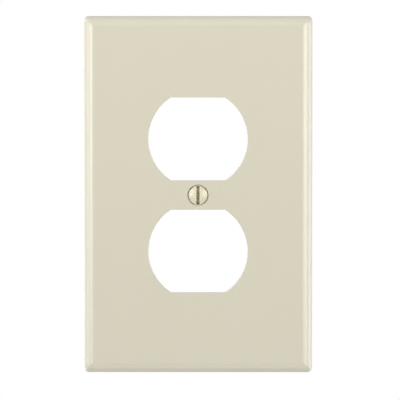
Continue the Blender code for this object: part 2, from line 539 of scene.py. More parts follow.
class FinishSheet:
    """A material's node tree under construction."""

    def __init__(self, name: str) -> None:
        """Start a Principled material whose patterns follow the piece's own coordinates.

        Args:
            name: The material's name.
        """
        self.material = bpy.data.materials.new(name)
        self.material.use_nodes = True
        self.nodes = self.material.node_tree.nodes
        self.links = self.material.node_tree.links
        self.shader = self.nodes["Principled BSDF"]
        self.place = self.nodes.new("ShaderNodeTexCoord").outputs["Object"]

    def set(self, **values: object) -> None:
        """Set constants on the shader, with underscores for the spaces in socket names."""
        for key, value in values.items():
            self.shader.inputs[key.replace("_", " ")].default_value = value

    def feed(self, name: str, socket: bpy.types.NodeSocket) -> None:
        """Link a pattern to one of the shader's sockets."""
        self.links.new(socket, self.shader.inputs[name])

    def node(self, kind: str, inputs: dict, **settings: object) -> bpy.types.Node:
        """Add a node.

        Args:
            kind: The node's type.
            inputs: Values or links for its input sockets, by name or index.
            **settings: Values for the node's own properties.

        Returns:
            The new node.
        """
        made = self.nodes.new(kind)
        for key, value in settings.items():
            setattr(made, key, value)
        for key, value in inputs.items():
            if isinstance(value, bpy.types.NodeSocket):
                self.links.new(value, made.inputs[key])
            else:
                made.inputs[key].default_value = value
        return made

    def from_axis(self) -> bpy.types.NodeSocket:
        """Measure from the line through the origin that runs front to back.

        Returns:
            The distance from that line.
        """
        inputs = {0: self.place, 1: (1.0, 0.0, 1.0)}
        flat = self.node("ShaderNodeVectorMath", inputs, operation="MULTIPLY")
        length = self.node("ShaderNodeVectorMath", {0: flat.outputs[0]}, operation="LENGTH")
        return length.outputs["Value"]

    def clouds(self, size: float, detail: float = 2.0) -> bpy.types.NodeSocket:
        """Soft noise.

        Args:
            size: How large its patches are.
            detail: Octaves of finer noise on top.

        Returns:
            A value around a half.
        """
        inputs = {"Vector": self.place, "Scale": 1.0 / size, "Detail": detail}
        return self.node("ShaderNodeTexNoise", inputs).outputs["Fac"]

    def mottle(
        self, size: float, detail: float, first: Colour, second: Colour
    ) -> bpy.types.NodeSocket:
        """Two close colours in soft patches.

        Args:
            size: How large the patches are.
            detail: Octaves of finer noise on top.
            first: One colour.
            second: The other.

        Returns:
            The pattern.
        """
        return self.blend(self.between(self.clouds(size, detail), 0.0, 1.0), first, second)

    def between(
        self,
        value: bpy.types.NodeSocket,
        low: float,
        high: float,
        start: float = 0.25,
        end: float = 0.75,
    ) -> bpy.types.NodeSocket:
        """Carry a stretch of a pattern's values smoothly over to another stretch.

        Args:
            value: The pattern.
            low: What the result is up to the stretch's start.
            high: What it is from the stretch's end on.
            start: Where the stretch starts.
            end: Where it ends.

        Returns:
            The new pattern.
        """
        inputs = {"Value": value, "From Min": start, "From Max": end, "To Min": low, "To Max": high}
        return self.node("ShaderNodeMapRange", inputs, interpolation_type="SMOOTHSTEP").outputs[0]

    def specks(self, spacing: float, size: float) -> bpy.types.NodeSocket:
        """Tiny scattered specks.

        Args:
            spacing: Distance between them.
            size: Their radius.

        Returns:
            One inside a speck, zero outside it.
        """
        inputs = {"Vector": self.place, "Scale": 1.0 / spacing}
        distance = self.node("ShaderNodeTexVoronoi", inputs).outputs["Distance"]
        edge = size / spacing
        solid = 0.6 * edge
        return self.between(distance, 1.0, 0.0, solid, edge)

    def lines(self, spacing: float, waver: float) -> bpy.types.NodeSocket:
        """Fine parallel marks that run up the piece, as a milling cutter leaves them.

        Args:
            spacing: Distance from one mark to the next.
            waver: How unevenly they lie.

        Returns:
            A value around a half.
        """
        inputs = {
            "Vector": self.place,
            "Scale": math.tau / (WAVE_RATE * spacing),
            "Distortion": waver,
            "Detail": 2.0,
            "Detail Scale": 3.0,
        }
        return self.node("ShaderNodeTexWave", inputs, bands_direction="X").outputs["Fac"]

    def blend(
        self, share: bpy.types.NodeSocket, first: Colour | bpy.types.NodeSocket, second: Colour
    ) -> bpy.types.NodeSocket:
        """Mix two colours.

        Args:
            share: How much of the second colour there is.
            first: One colour, which may itself be a pattern.
            second: The other.

        Returns:
            The mixed colour.
        """
        made = self.node("ShaderNodeMix", {}, data_type="RGBA")
        self.links.new(share, made.inputs[0])
        sockets = [socket for socket in made.inputs if socket.type == "RGBA"]
        for socket, colour in zip(sockets, (first, second)):
            if isinstance(colour, bpy.types.NodeSocket):
                self.links.new(colour, socket)
            else:
                socket.default_value = (*colour, 1.0)
        return next(socket for socket in made.outputs if socket.type == "RGBA")

    def relief(
        self, height: bpy.types.NodeSocket, tall: float, under: bpy.types.NodeSocket | None = None
    ) -> bpy.types.NodeSocket:
        """Turn a height pattern into surface relief.

        Args:
            height: The pattern.
            tall: The relief's real height, where the pattern goes from zero to one.
            under: Another relief, which this one lies on top of.

        Returns:
            The surface's direction with its relief.
        """
        inputs = {"Height": height, "Distance": tall, "Strength": 1.0}
        if under is not None:
            inputs["Normal"] = under
        return self.node("ShaderNodeBump", inputs).outputs[0]


@dataclass(frozen=True)
class MouldedPlastic:
    """Thermoset plastic as it leaves the mould.

    Attributes:
        name: The material's name.
        pale: The lighter of its two close colours.
        deep: The darker one.
        speck: Colour of the odd grain of filler that shows at the surface.
        speck_spacing: Distance between such grains.
        speck_size: Their radius.
        cloud: Size of the faint patches between the two colours.
        grain: Size of the finest grain.
        gloss: Roughness where the surface is shiniest.
        satin: Roughness where it is dullest.
        ripple: Width of the surface's slow ripple.
        ripple_height: Height of the ripple.
        grain_height: Height of the grain.
        sheen: Size of the patches between gloss and satin.
        tool_marks: Height of the milling marks copied from the mould.
        tool_spacing: Distance between those marks.
        tool_waver: How unevenly they lie.
        polish: How much of the mould's polish shows as a sharper shine on top.
    """

    name: str
    pale: Colour
    deep: Colour
    speck: Colour
    speck_spacing: float = 0.8 * MM
    speck_size: float = 0.045 * MM
    cloud: float = 22.0 * MM
    grain: float = 0.14 * MM
    gloss: float = 0.285
    satin: float = 0.36
    ripple: float = 1.8 * MM
    ripple_height: float = 0.0012 * MM
    grain_height: float = 0.0012 * MM
    sheen: float = 7.0 * MM
    tool_marks: float = 0.0
    tool_spacing: float = 0.55 * MM
    tool_waver: float = 0.6
    polish: float = 0.5

    def material(self) -> bpy.types.Material:
        """Build the material.

        Returns:
            The finished material.
        """
        sheet = FinishSheet(self.name)
        pigment = sheet.mottle(self.cloud, 3.0, self.pale, self.deep)
        filler = sheet.specks(self.speck_spacing, self.speck_size)
        sheet.feed("Base Color", sheet.blend(filler, pigment, self.speck))
        mapped = sheet.between(sheet.clouds(self.sheen, 4.0), self.gloss, self.satin, 0.0, 1.0)
        sheet.feed("Roughness", mapped)
        relief = sheet.relief(sheet.clouds(self.ripple, 2.0), self.ripple_height)
        relief = sheet.relief(sheet.clouds(self.grain, 2.0), self.grain_height, relief)
        if self.tool_marks:
            marks = sheet.lines(self.tool_spacing, self.tool_waver)
            relief = sheet.relief(marks, self.tool_marks, relief)
        sheet.feed("Normal", relief)
        sheet.set(IOR=1.52, Coat_Weight=self.polish, Coat_Roughness=0.2, Coat_IOR=1.5)
        return sheet.material


@dataclass(frozen=True)
class HeadPaint:
    """Paint on the screw's head, over zinc plate.

    Attributes:
        name: The material's name.
        colour: The paint's colour.
        thick: Its colour where it has pooled.
        coat: How much sharper shine lies on top.
        bare_metal_and_slot_end_shade: Colour of painted shade at the ends of the slot, where it runs
            into the dark gap round the head.
        end_shade_from: How far from the screw's axis the painted shade begins.
        end_shade_to: How far from the axis the painted shade is full.
        pool: Size of the patches where it has pooled.
        sheen: Size of the patches between gloss and satin.
        gloss: Roughness where the paint is shiniest.
        satin: Roughness where it is dullest.
        peel: Size of the ripples that it dried in.
        peel_height: Height of those ripples.
    """

    name: str = "head_paint"
    colour: Colour = (0.74, 0.70, 0.52)
    thick: Colour = (0.70, 0.66, 0.48)
    coat: float = 0.25
    bare_metal_and_slot_end_shade: Colour | None = None
    end_shade_from: float = 2.4 * MM
    end_shade_to: float = 2.7 * MM
    pool: float = 1.2 * MM
    sheen: float = 0.5 * MM
    gloss: float = 0.28
    satin: float = 0.42
    peel: float = 0.35 * MM
    peel_height: float = 0.003 * MM

    def material(self) -> bpy.types.Material:
        """Build the material.

        Returns:
            The finished material.
        """
        sheet = FinishSheet(self.name)
        surface_colour = sheet.mottle(self.pool, 3.0, self.colour, self.thick)
        # Painted shade: the colour darkens towards the ends of the slot, away from the screw's axis.
        if self.bare_metal_and_slot_end_shade is not None:
            mapped = sheet.between(sheet.from_axis(), 0.0, 1.0, self.end_shade_from, self.end_shade_to)
            surface_colour = sheet.blend(mapped, surface_colour, self.bare_metal_and_slot_end_shade)
        sheet.feed("Base Color", surface_colour)
        mapped = sheet.between(sheet.clouds(self.sheen, 3.0), self.gloss, self.satin)
        sheet.feed("Roughness", mapped)
        sheet.feed("Normal", sheet.relief(sheet.clouds(self.peel, 2.0), self.peel_height))
        sheet.set(IOR=1.5, Coat_Weight=self.coat, Coat_Roughness=0.15)
        return sheet.material


@dataclass(frozen=True)
class ZincPlate:
    """Bright zinc plate on the screw's shank.

    Attributes:
        name: The material's name.
        bright: The plate's colour where it is clean.
        dull: Its colour where it has bloomed.
        bloom: Size of the patches of bloom.
        sheen: Size of the patches between gloss and satin.
        gloss: Roughness where the plate is shiniest.
        satin: Roughness where it is dullest.
        grain: Size of its grain.
        grain_height: Height of the grain.
    """

    name: str = "zinc_plate"
    bright: Colour = (0.72, 0.73, 0.74)
    dull: Colour = (0.55, 0.56, 0.56)
    bloom: float = 0.8 * MM
    sheen: float = 0.3 * MM
    gloss: float = 0.29
    satin: float = 0.46
    grain: float = 0.12 * MM
    grain_height: float = 0.002 * MM

    def material(self) -> bpy.types.Material:
        """Build the material.

        Returns:
            The finished material.
        """
        sheet = FinishSheet(self.name)
        sheet.feed("Base Color", sheet.mottle(self.bloom, 4.0, self.bright, self.dull))
        mapped = sheet.between(sheet.clouds(self.sheen, 3.0), self.gloss, self.satin)
        sheet.feed("Roughness", mapped)
        sheet.feed("Normal", sheet.relief(sheet.clouds(self.grain, 2.0), self.grain_height))
        sheet.set(Metallic=1.0)
        return sheet.material


@dataclass
class WallPlate:
    """The moulded plate: rolled front, hollow ribbed back, two openings and a screw hole.

    Attributes:
        width: Outer width at the back.
        length: Outer length at the back.
        depth: From the wall to the flat front.
        front: Finish of the front, the sides and the openings.
        back: Finish of the hollow back.
        corner: Corner radius of the outline at the wall.
        mitre_round: Corner radius that is left where the roll meets the flat face.
        roll_width: How far in the roll reaches.
        roll_depth: How far back it reaches.
        side_draft: How far a side wall leans in.
        face: Thickness of the face.
        rim: Width of the rim that rests on the wall.
        rim_round: Rounding of the rim's two edges.
        recess_corner: Corner radius of the recess.
        recess_fillet: Fillet between its walls and its floor.
        recess_draft: How far its walls lean in.
        opening_radius: Radius of an opening's two round sides.
        opening_half_height: From an opening's middle to each flat.
        opening_spacing: From one opening's middle to the other's.
        opening_round: Rounding of an opening's front edge, with opening_back_round at its back.
        collar_width: Width of the band round an opening, with collar_height above the floor.
        rib: Thickness of a rib, whose tip lies at the depth rib_tip.
        rib_round: Rounding of a rib's tip and of the boss's, with rib_fillet at the foot.
        rib_overlap: How far a rib runs into the rim, so that the two join.
        long_rib_x: From the middle to each long rib.
        cross_rib_step: From one short rib to the next.
        end_rib_z: From the middle to each end rib.
        boss_radius: Radius of the boss, whose tip lies at the depth boss_tip.
        flank_lean: How far anything raised widens for each unit of its height.
        hole_round: Rounding of the screw hole's edges.
        countersink_rim: Height of the straight rim at the countersink's mouth.
        pin_x: From the middle to the rows of ejector-pin marks, of which pin_z is the half length.
        end_pin_z: From the middle to the mark near each end.
        past: How far a cutter sticks out of what it cuts.
        root: How far anything raised goes into the floor.
        frame_points: Points round the body and the recess, and likewise for the other shapes.
    """

    width: float
    length: float
    depth: float
    front: MouldedPlastic
    back: MouldedPlastic
    corner: float = 1.6 * MM
    mitre_round: float = 0.3 * MM
    roll_width: float = 4.1 * MM
    roll_depth: float = 3.7 * MM
    side_draft: float = 0.15 * MM
    face: float = 2.2 * MM
    rim: float = 2.0 * MM
    rim_round: float = 0.25 * MM
    recess_corner: float = 1.0 * MM
    recess_fillet: float = 1.2 * MM
    recess_draft: float = 0.1 * MM
    opening_radius: float = 17.17 * MM
    opening_half_height: float = 14.4 * MM
    opening_spacing: float = 38.89 * MM
    opening_round: float = 0.2 * MM
    opening_back_round: float = 0.15 * MM
    collar_width: float = 1.0 * MM
    collar_height: float = 0.8 * MM
    collar_round: float = 0.2 * MM
    collar_fillet: float = 0.25 * MM
    rib: float = 1.2 * MM
    rib_tip: float = 2.0 * MM
    rib_round: float = 0.3 * MM
    rib_fillet: float = 0.4 * MM
    rib_corner: float = 0.1 * MM
    rib_overlap: float = 0.2 * MM
    long_rib_x: float = 26.5 * MM
    cross_rib_step: float = 28.0 * MM
    end_rib_z: float = 55.5 * MM
    boss_radius: float = 4.8 * MM
    boss_tip: float = 2.2 * MM
    flank_lean: float = 0.03
    hole_radius: float = 2.1 * MM
    hole_round: float = 0.12 * MM
    countersink_radius: float = 3.65 * MM
    countersink_angle: float = 82.0
    countersink_rim: float = 0.35 * MM
    pin_radius: float = 1.6 * MM
    pin_depth: float = 0.08 * MM
    pin_x: float = 32.2 * MM
    pin_z: float = 42.0 * MM
    end_pin_z: float = 46.0 * MM
    past: float = 1.0 * MM
    root: float = 0.8 * MM
    frame_points: int = 4 * 17
    rib_points: int = 20
    opening_points: int = 2 * 73
    round_points: int = 96
    pin_points: int = 40

    @property
    def floor(self) -> float:
        """Depth of the recess's flat floor."""
        return self.depth - self.face

    def body(self) -> Loft:
        """Shape the side wall, rolled edge and flat front, as one solid.

        Returns:
            The loft, from the wall forwards.
        """
        edge = self.rim_round
        sections = [
            Section("Back Edge", edge, edge, 6, Bend.SIDE_FIRST),
            Section("Side Wall", -self.side_draft, self.depth - self.roll_depth - edge),
            Section("Roll", self.side_draft - self.roll_width, self.roll_depth, 40, Bend.DEPTH_FIRST),
        ]
        half = (self.width / 2 - edge, self.length / 2 - edge)
        share = (self.corner - self.mitre_round) / self.roll_width
        corner = self.corner - share * edge
        shape = Loft(Outline.RECTANGLE, *half, 0.0, sections, corner, self.frame_points)
        shape.corner_share = share
        return shape

    def recess(self) -> Loft:
        """Shape the hollow in the back.

        Returns:
            The loft, from behind the wall forwards.
        """
        edge = self.rim_round
        wall = self.floor - self.recess_fillet - edge
        fillet = self.recess_fillet
        sections = [
            Section("Lead In", 0.0, self.past),
            Section("Rim Edge", -edge, edge, 6, Bend.SIDE_FIRST),
            Section("Inner Wall", -self.recess_draft, wall),
            Section("Floor Fillet", -fillet, fillet, 12, Bend.DEPTH_FIRST),
        ]
        inset = self.rim - edge
        half = (self.width / 2 - inset, self.length / 2 - inset)
        corner = self.recess_corner
        return Loft(Outline.RECTANGLE, *half, -self.past, sections, corner, self.frame_points)

    def raised(self, height: float, tip_round: float, fillet: float) -> list[Section]:
        """The side of anything that stands up from the recess's floor.

        Args:
            height: From the floor to the tip.
            tip_round: Rounding at the tip.
            fillet: Fillet at the floor.

        Returns:
            The sections from the tip down into the floor.
        """
        flank = height - tip_round - fillet * math.sin(math.radians(NEAR_FLAT))
        return [
            Section("Tip", tip_round, tip_round, 6, Bend.SIDE_FIRST),
            Section("Flank", self.flank_lean * height, flank),
            Section("Root Fillet", fillet, fillet, 6, Bend.DEPTH_FIRST, NEAR_FLAT),
            Section("Root", 0.0, self.root),
        ]

    def rib_row(
        self, name: str, first: Vector, step: Vector, copies: int, half: Vector
    ) -> tuple[str, Loft]:
        """A row of equal ribs.

        Args:
            name: The row's name.
            first: The first rib's centre.
            step: From one rib to the next.
            copies: How many there are.
            half: Half the rib's size along x and z.

        Returns:
            The name and the loft.
        """
        sections = self.raised(self.floor - self.rib_tip, self.rib_round, self.rib_fillet)
        size = (half.x - self.rib_round, half.z - self.rib_round)
        row = Loft(Outline.RECTANGLE, *size, self.rib_tip, sections, self.rib_corner, self.rib_points)
        row.copies, row.first, row.step = copies, first, step
        return name, row

    def ribs(self) -> list[tuple[str, Loft]]:
        """Lay out two long ribs, short ribs out to the side rims, and a full rib near each end.

        Returns:
            The name and the loft of each row.
        """
        half_rib = self.rib / 2
        half_long = self.length / 2 - self.rim + self.rib_overlap
        half_wide = self.width / 2 - self.rim + self.rib_overlap
        outer = (half_wide + self.long_rib_x) / 2
        half_short = (half_wide - self.long_rib_x) / 2
        along_x = Vector((2 * self.long_rib_x, 0.0, 0.0))
        across_z = Vector((0.0, 0.0, 2 * self.end_rib_z))
        short_step = Vector((0.0, 0.0, self.cross_rib_step))
        rows = [
            self.rib_row("long_ribs", -along_x / 2, along_x, 2, Vector((half_rib, 0.0, half_long))),
            self.rib_row("end_ribs", -across_z / 2, across_z, 2, Vector((half_wide, 0.0, half_rib))),
        ]
        for name, side in (("left_ribs", -1), ("right_ribs", 1)):
            first = Vector((side * outer, 0.0, 0.0)) - short_step
            rows.append(self.rib_row(name, first, short_step, 3, Vector((half_short, 0.0, half_rib))))
        return rows

    def opening_pair(self, grow: float, start: float, sections: list[Section]) -> Loft:
        """Follow the outline of both openings.

        Args:
            grow: How far outside the openings' outline the first ring lies.
            start: Depth of the first ring.
            sections: The stretches, in order.

        Returns:
            The loft of both shapes.
        """
        step = Vector((0.0, 0.0, self.opening_spacing))
        half = (self.opening_radius + grow, self.opening_half_height + grow)
        pair = Loft(Outline.RECEPTACLE, *half, start, sections, around=self.opening_points)
        pair.copies, pair.first, pair.step = 2, -step / 2, step
        return pair

    def collars(self) -> Loft:
        """Shape the low bands round the openings, on the back.

        Returns:
            The loft of both collars.
        """
        sections = self.raised(self.collar_height, self.collar_round, self.collar_fillet)
        grow = self.collar_width - self.collar_round
        return self.opening_pair(grow, self.floor - self.collar_height, sections)

    def openings(self) -> Loft:
        """Shape the cutter of the holes that the receptacle's faces come through.

        Returns:
            The loft of both holes.
        """
        edge = self.opening_round
        back_edge = self.opening_back_round
        collar_tip = self.floor - self.collar_height
        lip = edge * math.sin(math.radians(NEAR_FLAT))
        sections = [
            Section("Lead In", 0.0, collar_tip + self.past),
            Section("Back Edge", -back_edge, back_edge, 4, Bend.SIDE_FIRST),
            Section("Wall", 0.0, self.depth - edge - collar_tip - back_edge),
            Section("Front Edge", edge, edge, 6, Bend.DEPTH_FIRST, NEAR_FLAT),
            Section("Way Out", 0.0, self.past + edge - lip),
        ]
        return self.opening_pair(back_edge, -self.past, sections)

    def boss(self) -> Loft:
        """Shape the boss behind the screw hole, rounded and filleted as the ribs are.

        Returns:
            The loft, from the tip into the floor.
        """
        sections = self.raised(self.floor - self.boss_tip, self.rib_round, self.rib_fillet)
        radius = self.boss_radius - self.rib_round
        return Loft(Outline.ROUND, radius, 0.0, self.boss_tip, sections, around=self.round_points)

    def screw_hole(self) -> Loft:
        """Shape the cutter of the clearance hole and its countersink.

        Returns:
            The loft, from behind the boss forwards.
        """
        edge = self.hole_round
        flare = self.countersink_radius - self.hole_radius
        cone = flare / math.tan(math.radians(self.countersink_angle / 2))
        rim = self.countersink_rim
        lip = edge * math.sin(math.radians(NEAR_FLAT))
        sections = [
            Section("Lead In", 0.0, self.past),
            Section("Back Edge", -edge, edge, 4, Bend.SIDE_FIRST),
            Section("Hole", 0.0, self.depth - cone - self.boss_tip - edge),
            Section("Countersink", flare, cone - rim),
            Section("Rim", 0.0, rim - edge),
            Section("Front Edge", edge, edge, 5, Bend.DEPTH_FIRST, NEAR_FLAT),
            Section("Way Out", 0.0, self.past + edge - lip),
        ]
        start = self.boss_tip - self.past
        radius = self.hole_radius + edge
        return Loft(Outline.ROUND, radius, 0.0, start, sections, around=self.round_points)

    def pin_marks(self) -> list[tuple[str, Loft]]:
        """Shape the shallow round marks where the mould's ejector pins pushed.

        Returns:
            The name and the loft of each row.
        """
        sections = [Section("Side", 0.0, self.past + self.pin_depth)]
        start = self.floor - self.past
        places = (
            ("left_pins", -self.pin_x, self.pin_z, 4),
            ("right_pins", self.pin_x, self.pin_z, 4),
            ("end_pins", 0.0, self.end_pin_z, 2),
        )
        rows = []
        for name, x, z, copies in places:
            row = Loft(Outline.ROUND, self.pin_radius, 0.0, start, sections, around=self.pin_points)
            row.copies = copies
            row.first = Vector((x, 0.0, -z))
            row.step = -2 * Vector((0.0, 0.0, row.first.z)) / (copies - 1)
            rows.append((name, row))
        return rows

    def build(self) -> bpy.types.Object:
        """Make the whole plate.

        Returns:
            The plate, in place and dressed.
        """
        outside = self.front.material()
        inside = self.back.material()
        plate = face_outwards(self.body().make(PLATE_NODE + "_moulding", outside))
        raised = [*self.ribs(), ("collars", self.collars()), ("screw_boss", self.boss())]
        holes = [("openings", self.openings()), ("screw_hole", self.screw_hole())]
        stages = (
            (Joining.CUT, inside, [("back_recess", self.recess())]),
            (Joining.ADD, inside, raised),
            (Joining.CUT, inside, self.pin_marks()),
            (Joining.CUT, outside, holes),
        )
        for joining, finish, shapes in stages:
            for name, shape in shapes:
                plate = combine(plate, joining, face_outwards(shape.make(name, finish)))
        return smooth_over(plate)


@dataclass
class MountingScrew:
    """The 6-32 oval-head screw: crowned slotted head, neck, threaded shank and chamfered tip.

    Attributes:
        slot_lip: Depth of the slot's lips at the middle of the crown, the screw's foremost points.
        tip: Depth of the far end, which is behind the wall.
        paint: Finish of the head.
        shaded_slot_paint: Finish of the slot: its paint darkened with painted shade, and painted
            shade at its ends.
        plating: Finish of the shank.
        crown: Height of the head's crown above its edge.
        head_angle: Angle of the cone under the head, in degrees.
        core_radius: Radius of the shank between the thread's turns.
        pitch: From one turn of the thread to the next.
        flank_angle: How far each side of the thread leans, in degrees.
        crest_round: Rounding of the thread's crest.
        thread_root: How far the thread goes into the shank.
        thread_least: How far it still stands out of its root where it has faded.
        fade_turns: Turns over which it fades at each end.
        per_turn: Steps in a turn of the thread.
        lip_round: Rounding of the slot's lips, which turn through lip_sweep degrees.
        lip_inset: How much lower the lips lie than the solid screw's.
        edge_round: Rounding of the head's edge.
        crown_hole: Radius of the tiny flat at the crown's middle.
        paint_line: How far below the cone the paint ends.
        past: How far the slot's cutter sticks out of the head.
    """

    slot_lip: float
    tip: float
    paint: HeadPaint
    shaded_slot_paint: HeadPaint
    plating: ZincPlate
    head_radius: float = 3.25 * MM
    crown: float = 0.9 * MM
    head_angle: float = 82.0
    neck_radius: float = 1.5 * MM
    neck_length: float = 0.6 * MM
    core_radius: float = 1.28 * MM
    thread_radius: float = 1.753 * MM
    pitch: float = 25.4 * MM / 32
    flank_angle: float = 30.0
    crest_round: float = 0.03 * MM
    thread_root: float = 0.1 * MM
    thread_least: float = 0.02 * MM
    fade_turns: float = 0.75
    per_turn: int = 48
    tip_chamfer: float = 0.35 * MM
    slot_width: float = 1.05 * MM
    slot_depth: float = 1.4 * MM
    lip_round: float = 0.07 * MM
    lip_sweep: float = 80.0
    lip_inset: float = 0.005 * MM
    edge_round: float = 0.09 * MM
    crown_hole: float = 0.005 * MM
    paint_line: float = 0.1 * MM
    past: float = 0.5 * MM

    @property
    def ball(self) -> float:
        """Radius of the ball that the crown is part of."""
        return (self.head_radius**2 + self.crown**2) / (2 * self.crown)

    @property
    def crown_top(self) -> float:
        """Depth of the crown's middle, as it was before the slot was cut."""
        half = self.slot_width / 2 + self.lip_round
        return self.slot_lip - self.lip_inset + self.ball - math.sqrt(self.ball**2 - half**2)

    @property
    def crown_reach(self) -> float:
        """How far the crown curves over before its rounded edge starts, in degrees."""
        edge = self.edge_round
        return math.degrees(math.asin((self.head_radius - edge) / (self.ball - edge)))

    @property
    def cone_top(self) -> tuple[float, float]:
        """Find where the head's rounded edge runs into the cone below it.

        Returns:
            That ring's radius and depth.
        """
        reach = math.radians(self.crown_reach)
        under = math.radians(90.0 + self.head_angle / 2)
        radius = self.head_radius - self.edge_round * (1.0 - math.sin(under))
        crown_drop = self.ball * (1.0 - math.cos(reach))
        edge_drop = self.edge_round * (math.cos(reach) - math.cos(under))
        return radius, self.crown_top - crown_drop - edge_drop

    @property
    def neck_top(self) -> float:
        """Depth where the head's cone meets the neck."""
        radius, depth = self.cone_top
        return depth - (radius - self.neck_radius) / math.tan(math.radians(self.head_angle / 2))

    def blank(self) -> Loft:
        """Shape the turned screw, from the crown's middle to the tip.

        Returns:
            The loft, without thread and slot.
        """
        reach = self.crown_reach
        edge = self.edge_round
        under = 90.0 + self.head_angle / 2 - reach
        cone_radius, cone_depth = self.cone_top
        neck_end = self.neck_top - self.neck_length
        sections = [
            Section("Crown", self.ball, -self.ball, 24, Bend.SIDE_FIRST, reach),
            Section("Head Edge", edge, -edge, 8, Bend.SIDE_FIRST, under, reach),
            Section("Cone", self.neck_radius - cone_radius, self.neck_top - cone_depth),
            Section("Neck", 0.0, -self.neck_length),
            Section("Shoulder", self.core_radius - self.neck_radius, 0.0),
            Section("Core", 0.0, self.tip + self.tip_chamfer - neck_end),
            Section("Tip", -self.tip_chamfer, -self.tip_chamfer),
        ]
        around = 2 * self.per_turn
        return Loft(Outline.ROUND, self.crown_hole, 0.0, self.crown_top, sections, around=around)

    def thread(self, material: bpy.types.Material) -> bpy.types.Object:
        """Wind the right-hand thread, which fades into the core at both ends.

        Args:
            material: What the thread is dressed in.

        Returns:
            The thread, as a closed shape of its own.
        """
        tree = ShapeTree("screw_thread")
        pitch = tree.number("Pitch", self.pitch)
        start = self.neck_top - self.neck_length
        end = self.tip + self.tip_chamfer + 0.5 * self.pitch
        turns = (start - end) / self.pitch
        steps = round(turns * self.per_turn)
        corners = 6
        tube, corner, ring = tree.rings(tree.count("Corners", corners), tree.count("Steps", steps))
        turn = ring / tree.number("Steps Per Turn", self.per_turn)
        from_end = tree.math("MINIMUM", turn, tree.number("Turns", turns) - turn)
        fade = tree.clamp(from_end / tree.number("Fade Turns", self.fade_turns))
        root = tree.number("Root Radius", self.core_radius - self.thread_root)
        crest = tree.number("Crest Radius", self.thread_radius)
        # Corners 0 and 1 lie in the root, 2 and 5 where the flanks end, 3 and 4 on the crest.
        level = tree.math("MAXIMUM", 2.5 - tree.math("ABSOLUTE", corner - 3.5), 0.0)
        # Corners 1 to 3 lie on the side of the head, the others on the side of the tip.
        side = tree.math("SIGN", 1.5 - tree.math("ABSOLUTE", corner - 2.0))
        rounding = tree.number("Crest Round", self.crest_round)
        full = crest - rounding
        height = tree.math("MINIMUM", level, 1.0)
        over = tree.math("MAXIMUM", level - 1.0, 0.0)
        least = self.thread_least
        reach = root + least + (full - root - least) * fade
        radius = root + (reach - root) * height + rounding * over * fade
        flank = math.tan(math.radians(self.flank_angle))
        half = pitch / 16 + (crest - radius) * flank - rounding * over * 0.6
        angle = turn * math.tau
        x = radius * tree.math("SINE", angle)
        z = radius * tree.math("COSINE", angle)
        depth = tree.number("Start Depth", start) - pitch * turn + side * half
        tree.close(tree.put(tube, x, depth, z))
        return tree.make("screw_thread", material)

    def slot(self, material: bpy.types.Material) -> bpy.types.Object:
        """Shape the slot's cutter, whose sides flare where they come out of the crown.

        Args:
            material: What the slot is dressed in.

        Returns:
            The cutter, as a closed shape.
        """
        tree = ShapeTree("screw_slot")
        arc = 5
        corners = 2 * (arc + 2)
        steps = 32
        tube, corner, ring = tree.rings(tree.count("Corners", corners), tree.count("Steps", steps))
        reach = tree.number("Half Length", self.head_radius + self.past)
        z = reach * (ring * (2.0 / steps) - 1.0)
        half = tree.number("Half Width", self.slot_width / 2)
        lip = tree.number("Lip Round", self.lip_round)
        ball = tree.number("Crown Ball", self.ball)
        beside = tree.math("SQRT", ball * ball - z * z - half * half)
        surface = tree.number("Crown Top", self.crown_top) - ball + beside
        side = tree.math("SIGN", corners / 2 - 0.5 - corner)
        # Level 0 lies on the slot's floor, 1 to arc go round the lip, and the last is past the crown.
        level = tree.math("MINIMUM", corner, corners - 1.0 - corner)
        turn = tree.clamp((level - 1.0) / (arc - 1.0)) * math.radians(self.lip_sweep)
        x = side * (half + lip * (1.0 - tree.math("COSINE", turn)))
        over = tree.math("MAXIMUM", level - arc, 0.0) * self.past
        wall = surface - lip + lip * tree.math("SINE", turn) + over
        floor = tree.number("Floor Depth", self.crown_top - self.slot_depth)
        on_floor = 1.0 - tree.math("MINIMUM", level, 1.0)
        depth = wall + (floor - wall) * on_floor
        tree.close(tree.put(tube, x, depth, z))
        return tree.make("screw_slot", material)

    def build(self) -> bpy.types.Object:
        """Make the whole screw.

        Returns:
            The screw, in place and dressed: painted above the neck, plated below.
        """
        paint = self.paint.material()
        plating = self.plating.material()
        screw = face_outwards(self.blank().make(SCREW_NODE + "_turned", paint))
        screw = combine(screw, Joining.ADD, face_outwards(self.thread(plating)))
        slot = self.slot(self.shaded_slot_paint.material())
        screw = combine(screw, Joining.CUT, face_outwards(slot))
        bare_metal_and_slot_end_shade = screw.data.materials.find(plating.name)
        paint_end = -(self.neck_top + self.paint_line)
        for face in screw.data.polygons:
            if face.center.y > paint_end:
                face.material_index = bare_metal_and_slot_end_shade
        return smooth_over(screw)


@dataclass(frozen=True)
class SoftBox:
    """A rectangular soft light that faces the middle of the plate.

    Attributes:
        name: The light's name.
        azimuth: How far it stands to the right of straight ahead, in degrees.
        elevation: How far it stands above straight ahead, in degrees.
        distance: How far away it stands.
        size: Its width and height.
        brightness: How bright it looks, where white paper in full light is one.
    """

    name: str
    azimuth: float
    elevation: float
    distance: float
    size: tuple[float, float]
    brightness: float

    def build(self) -> None:
        """Hang the light and aim it at the plate."""
        lamp = bpy.data.lights.new(self.name, "AREA")
        lamp.shape = "RECTANGLE"
        lamp.size, lamp.size_y = self.size
        lamp.energy = math.pi * self.size[0] * self.size[1] * self.brightness
        made = bpy.data.objects.new(self.name, lamp)
        made.location = self.distance * towards(self.azimuth, self.elevation)
        made.rotation_euler = (-made.location).to_track_quat("-Z", "Y").to_euler()
        made.visible_camera = False
        bpy.context.scene.collection.objects.link(made)


